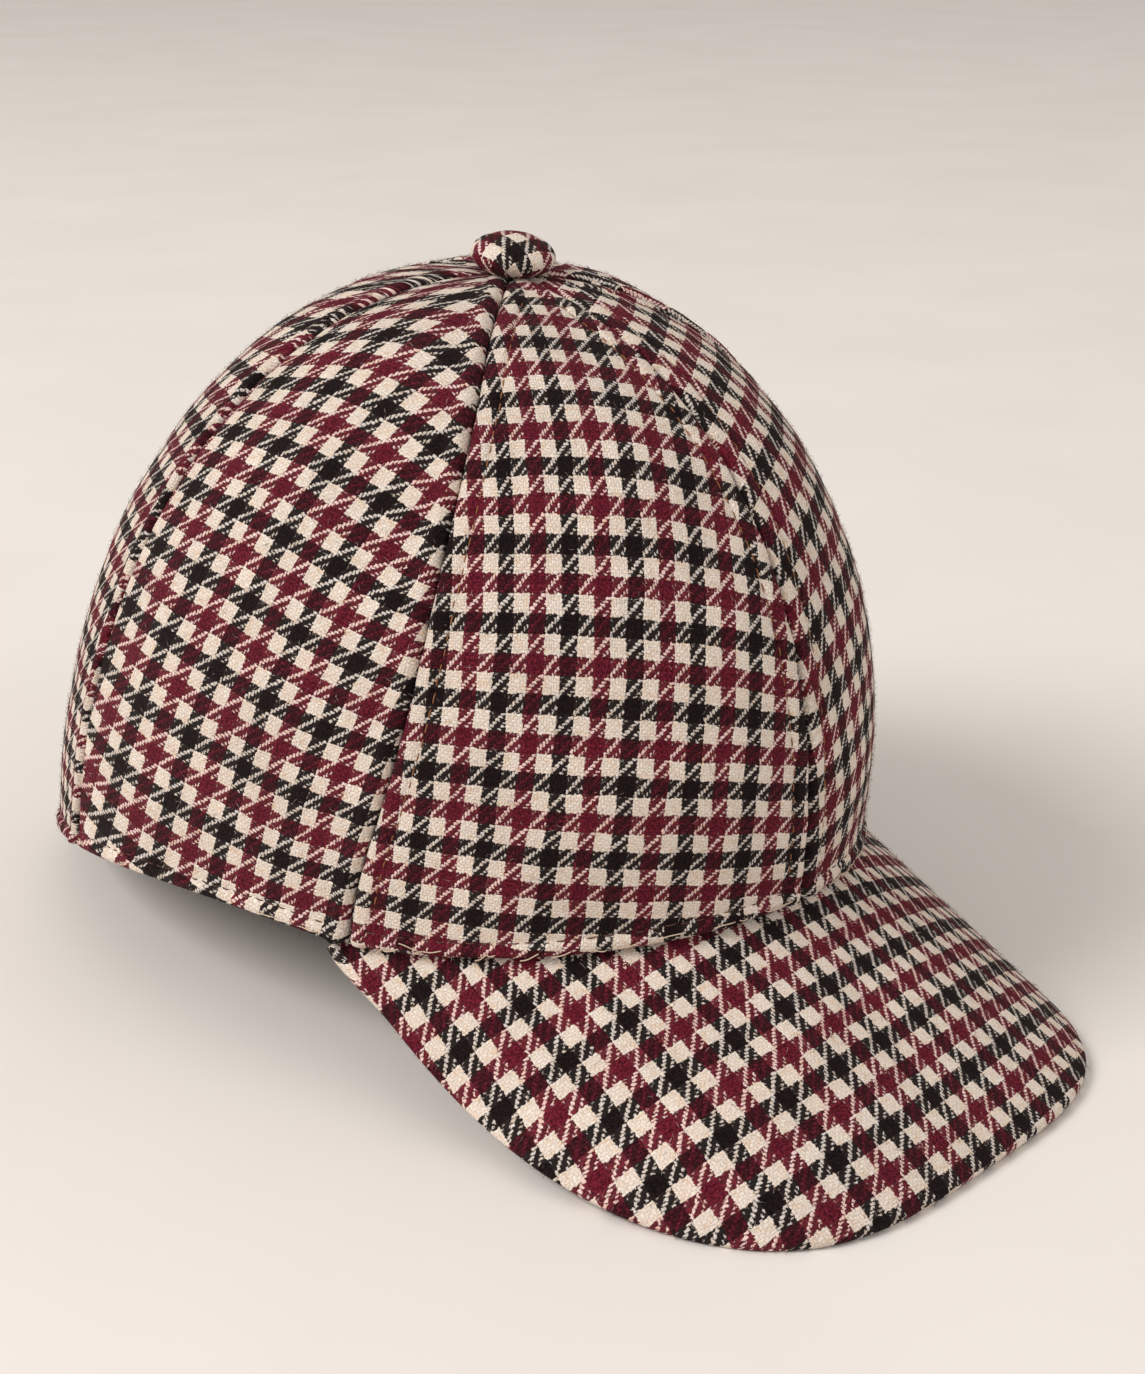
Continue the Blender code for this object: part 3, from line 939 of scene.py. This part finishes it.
# %% Thread material
def thread(name, colour, ply_highlight):
    """Twisted sewing thread: slanting plies as bump, and as painted highlight on their crowns and painted
    shade between them, made uneven by noise, across its own length.
    """
    material, tree = new_material(name)
    along = add(tree, "ShaderNodeUVMap", {"uv_map": "cloth"}).outputs[0]
    slanting = {"bands_direction": "DIAGONAL"}
    plies = add(tree, "ShaderNodeTexWave", slanting, Vector=along, Scale=0.55).outputs[1]
    uneven = add(tree, "ShaderNodeTexNoise", Vector=along, Scale=1.4, Detail=2.0).outputs[0]
    # Painted highlight on the plies' crowns and painted shade between them, made uneven by noise
    tint = blend(tree, calc(tree, "MULTIPLY", plies, uneven), linear(colour), linear(ply_highlight))
    bump = add(tree, "ShaderNodeBump", Strength=0.5, Distance=0.00008, Height=plies).outputs[0]
    shade_with(tree, Base_Color=tint, Roughness=0.6, Normal=bump)
    return material


seam_thread = thread("spun_thread_tan", "#7A4420", "#C08350")
hem_thread = thread("spun_thread_brown", "#3E1C14", "#7E4E38")
cream_thread = thread("spun_thread_cream", "#CDB096", "#F3E4D2")


# %% Tubes along paths
TUBE_SIDES = 5


def tubes(paths, upward, radius):
    """Circles round each point of each path, closed at both ends; u is the length, v the way round."""
    number, steps = paths.shape[:2]
    along = unit(np.gradient(paths, axis=1))
    aside = unit(np.cross(along, upward))
    above = np.cross(aside, along)
    angle = 2 * math.pi * np.arange(TUBE_SIDES) / TUBE_SIDES
    ring = np.cos(angle)[:, None] * aside[:, :, None] + np.sin(angle)[:, None] * above[:, :, None]
    points = paths[:, :, None] + radius * ring
    grid = np.arange(number * steps * TUBE_SIDES).reshape(number, steps, TUBE_SIDES)
    after = np.roll(grid, -1, axis=2)
    quads = np.stack([grid[:, :-1], after[:, :-1], after[:, 1:], grid[:, 1:]], -1).reshape(-1, 4)
    poles = grid.size + np.arange(number * 2).reshape(number, 2, 1).repeat(TUBE_SIDES, axis=2)
    first = np.stack([poles[:, 0], after[:, 0], grid[:, 0]], -1)
    last = np.stack([poles[:, 1], grid[:, -1], after[:, -1]], -1)
    flat = np.stack(np.broadcast_arrays(run_length(paths, 1)[..., None], angle), -1).reshape(-1, 2)
    points = np.concatenate([points.reshape(-1, 3), paths[:, [0, -1]].reshape(-1, 3)])
    flat = np.concatenate([flat, np.zeros((poles[:, :, 0].size, 2))])
    return points, quads, np.concatenate([first, last]).reshape(-1, 3), flat


# %% Stitch lines
STITCH_PITCH = 2.9
STITCH_SHARE = 0.88
STITCH_RADIUS = 0.15
STITCH_SUNK = 0.32
STRAY_ALONG, STRAY_ASIDE = 0.12, 0.09
HEM_MARGIN = 2.0


def trace(measure, level, *grids):
    """The grids' values where the measure, which grows along the first axis, reaches the level."""
    below = np.clip((measure < level).sum(axis=0) - 1, 0, len(measure) - 2)
    line = np.arange(measure.shape[1])
    low, high = measure[below, line], measure[below + 1, line]
    share = ((level - low) / (high - low))[:, None]
    return [grid[below, line] * (1 - share) + grid[below + 1, line] * share for grid in grids]


def seam_line(skin, at_end, distance):
    """The line at a distance from one seam, from above the hem to where the panel gets narrow."""
    step = -1 if at_end else 1
    from_seam = np.abs(skin.across - skin.across[-1 if at_end else 0])[::step]
    keep = (from_seam[-1] > 3 * distance) & (skin.up[0] > HEM_HEIGHT)
    line, normal = trace(from_seam, distance, skin.outer[::step], skin.normal[::step])
    return line[keep], normal[keep]


def hem_line(skin, height, margin):
    """The line at a height over the rim, less a margin at both seams."""
    across = skin.across[:, 0]
    keep = (across > across[0] + margin) & (across < across[-1] - margin)
    grids = (grid.transpose(1, 0, 2) for grid in (skin.outer, skin.normal))
    line, normal = trace(skin.up.T, height, *grids)
    return line[keep], normal[keep]


def stitches(line, normal, seed):
    """Arcs of the line, a pitch apart; each sinks at its ends by a cosine and strays a little aside."""
    chance = np.random.default_rng(seed)
    length = run_length(line)
    start = np.arange(STITCH_PITCH, length[-1] - STITCH_PITCH, STITCH_PITCH)
    start = start + chance.normal(0, STRAY_ALONG, len(start))
    share = np.linspace(0, 1, 7)
    place = start[:, None] + share * STITCH_PITCH * STITCH_SHARE
    path, up = (
        np.stack([np.interp(place, length, grid[:, axis]) for axis in range(3)], -1)
        for grid in (line, normal)
    )
    aside = unit(np.cross(np.gradient(path, axis=1), up))
    lift = STITCH_RADIUS / 2 - STITCH_SUNK * np.abs(np.cos(math.pi * share)) ** 3
    stray = chance.normal(0, STRAY_ASIDE, len(start))[:, None, None]
    return path + lift[:, None] * up + stray * aside, up


def sew(name, lines, seed, material):
    """One piece of all the stitches of some lines."""
    parts = [stitches(line, normal, seed + place) for place, (line, normal) in enumerate(lines)]
    paths, upward = (np.concatenate(arrays) for arrays in zip(*parts))
    put_piece(name, *tubes(paths, upward, STITCH_RADIUS), material, "panel_cloth")


for seed, panel in enumerate(PANELS):
    skin = skins[panel.name]
    sides = enumerate(sides_of(panel))
    lines = [seam_line(skin, at_end, side.width) for at_end, side in sides if side.stitched]
    if lines:
        sew(panel.name + "_seam_stitches", lines, 200 + 10 * seed, seam_thread)
    lines = [hem_line(skin, HEM_HEIGHT, HEM_MARGIN)]
    sew(panel.name + "_hem_stitches", lines, 205 + 10 * seed, hem_thread)

# %% [markdown]
# ### Loose ends
# On the real cap short ends of cream thread stick out where the crown is sewn to the peak, and a few
# further back along the rim. Each is a path over the cloth that a slant and a sine bend aside.

# %% Loose ends
END_HEIGHT, END_MARGIN = 1.6, 3.0
END_RADIUS = 0.12
END_LENGTHS = (1.5, 5.0)
END_SLANTS = (-1.2, 1.4)
END_BEND, END_LIFT = 0.2, 0.35


def loose_ends(name, seed, count):
    """Paths that start just over the rim and wander along it by a sine, a little off the cloth."""
    chance = np.random.default_rng(seed)
    line, normal = hem_line(skins[name], END_HEIGHT, END_MARGIN)
    pick = chance.integers(4, len(line) - 4, count)
    start, up = line[pick][:, None], normal[pick][:, None]
    along = unit(line[pick + 2] - line[pick - 2])[:, None]
    share = np.linspace(0, 1, 13)[None, :, None]
    each = (count, 1, 1)
    reach = chance.uniform(*END_LENGTHS, each) * chance.choice([-1, 1], each)
    phase = chance.uniform(0, 2 * math.pi, each)
    slant = chance.uniform(*END_SLANTS, each)
    bend = END_BEND * (np.sin(4 * share + phase) - np.sin(phase)) + slant * share
    lift = END_RADIUS + END_LIFT * np.sin(math.pi * share) * chance.uniform(0.1, 1, each)
    paths = start + reach * share * along + bend * np.cross(up, along) + lift * up
    parts = tubes(paths, np.broadcast_to(up, paths.shape), END_RADIUS)
    put_piece(name + "_thread_ends", *parts, cream_thread, "panel_cloth")


loose_ends("front_panel_right", 401, 16)
loose_ends("front_panel_left", 402, 16)
loose_ends("side_panel_right", 403, 4)
loose_ends("back_panel_left", 404, 3)

# %% [markdown]
# ### Fuzz
# Wool cloth carries fine fibres that stand off its face. They catch the light along the outline and
# lie as pale hairs over the dark blocks. Each is a thin bent spike that takes the colour of the
# thread that it grows from, because it is given that thread's place on the cloth. Real fibres are
# 0.02 mm thick and number hundreds for each square centimetre; these are thicker and fewer.

# %% Fuzz
FIBRE_RADIUS = 0.035
FIBRES_A_PANEL = 4200
FIBRE_LENGTHS = (0.7, 1.9)
FIBRE_RISES = (0.12, 0.55)
FIBRE_BEND = 0.35
ROOT_DEPTH = 0.1


def fuzz(name, points, normal, cloth, seed, material, slot):
    """Three-sided spikes at random grid places, chosen by area, bent over by a seeded amount."""
    chance = np.random.default_rng(seed)
    count = FIBRES_A_PANEL
    one, two = (np.diff(points, axis=axis) for axis in (0, 1))
    one, two = one[:, :-1], two[:-1]
    area = np.linalg.norm(np.cross(one, two), axis=-1)
    pick = np.unravel_index(chance.choice(area.size, count, p=area.ravel() / area.sum()), area.shape)
    share_one, share_two = chance.uniform(0, 1, (2, count, 1))
    root = points[:-1, :-1][pick] + share_one * one[pick] + share_two * two[pick]
    up = normal[:-1, :-1][pick]
    lean = np.cross(up, unit(chance.normal(0, 1, (count, 3))))
    aside = np.cross(up, lean)
    length = chance.uniform(*FIBRE_LENGTHS, (count, 1))
    rise = chance.uniform(*FIBRE_RISES, (count, 1))
    middle = root + 0.5 * length * lean + rise * up
    tip = root + length * lean + rise * chance.uniform(0.2, 1.9, (count, 1)) * up
    tip = tip + FIBRE_BEND * length * chance.uniform(-1, 1, (count, 1)) * aside
    ring = np.stack([aside, -0.5 * aside + 0.87 * up, -0.5 * aside - 0.87 * up], 1)
    foot = (root - ROOT_DEPTH * up)[:, None] + FIBRE_RADIUS * ring
    waist = middle[:, None] + 0.7 * FIBRE_RADIUS * ring
    points = np.concatenate([foot, waist, tip[:, None]], 1).reshape(-1, 3)
    first = 7 * np.arange(count)[:, None, None]
    quads = (first + np.array([[0, 1, 4, 3], [1, 2, 5, 4], [2, 0, 3, 5]])).reshape(-1, 4)
    triangles = (first + np.array([[3, 4, 6], [4, 5, 6], [5, 3, 6], [0, 2, 1]])).reshape(-1, 3)
    flat = np.repeat(cloth[:-1, :-1][pick], 7, axis=0)
    put_piece(name + "_fuzz", points, quads, triangles, flat, material, slot)


for seed, (name, skin) in enumerate(skins.items()):
    fuzz(name, skin.outer, skin.normal, skin.cloth, 500 + seed, panel_wool, "panel_cloth")
across_loops = np.cross(np.gradient(loops, axis=0), np.gradient(loops, axis=1))
peak_normal = unit(across_loops * np.sign(across_loops[:, 2:3, 2:3]))
peak_grids = [grid[:, 2 : TOP_ROWS + EDGE_STEPS - 2] for grid in (loops, peak_normal, peak_cloth)]
fuzz("peak", *peak_grids, 520, peak_wool, "peak_cloth")

# %% [markdown]
# ## Floor and light
# The photograph was taken on pale plaster by soft light from the upper left. A large sheet of matt
# plaster stands for the floor, a big soft lamp for the window, and a pale sky fills the shadows.

# %% Floor
floor_material, tree = new_material("pale_plaster")
place = add(tree, "ShaderNodeTexCoord").outputs["Object"]
patches = add(tree, "ShaderNodeTexNoise", Vector=place, Scale=9.0, Detail=6.0).outputs[0]
tint = blend(tree, patches, linear("#F2EDE8"), linear("#E6E0DA"))
shade_with(tree, Base_Color=tint, Roughness=0.9)
mesh = bpy.data.meshes.new("floor")
mesh.from_pydata([(-6, -6, 0), (6, -6, 0), (6, 6, 0), (-6, 6, 0)], [], [(0, 1, 2, 3)])
mesh.materials.append(floor_material)
floor = put_object("floor", mesh)


# %% Lamps
def lamp(name, place, size, power, colour):
    """A square lamp at a place in metres that looks at the middle of the cap."""
    data = bpy.data.lights.new(name, "AREA")
    data.size, data.energy, data.color = size, power, colour
    item = put_object(name, data)
    item.location = place
    item.rotation_euler = (Vector((0, 0, 0.06)) - Vector(place)).to_track_quat("-Z", "Y").to_euler()


lamp("window", (-2.2, 0.7, 2.1), 1.3, 62.0, (1.0, 0.975, 0.95))
lamp("fill", (0.3, -2.6, 1.6), 2.2, 14.0, (1.0, 0.985, 0.97))
world = bpy.data.worlds.new("pale_room")
world.use_nodes = True
sky = world.node_tree.nodes["Background"].inputs
sky["Color"].default_value = linear("#F4EFEA")
sky["Strength"].default_value = 0.64
bpy.context.scene.world = world
bpy.context.scene.view_settings.view_transform = "Standard"
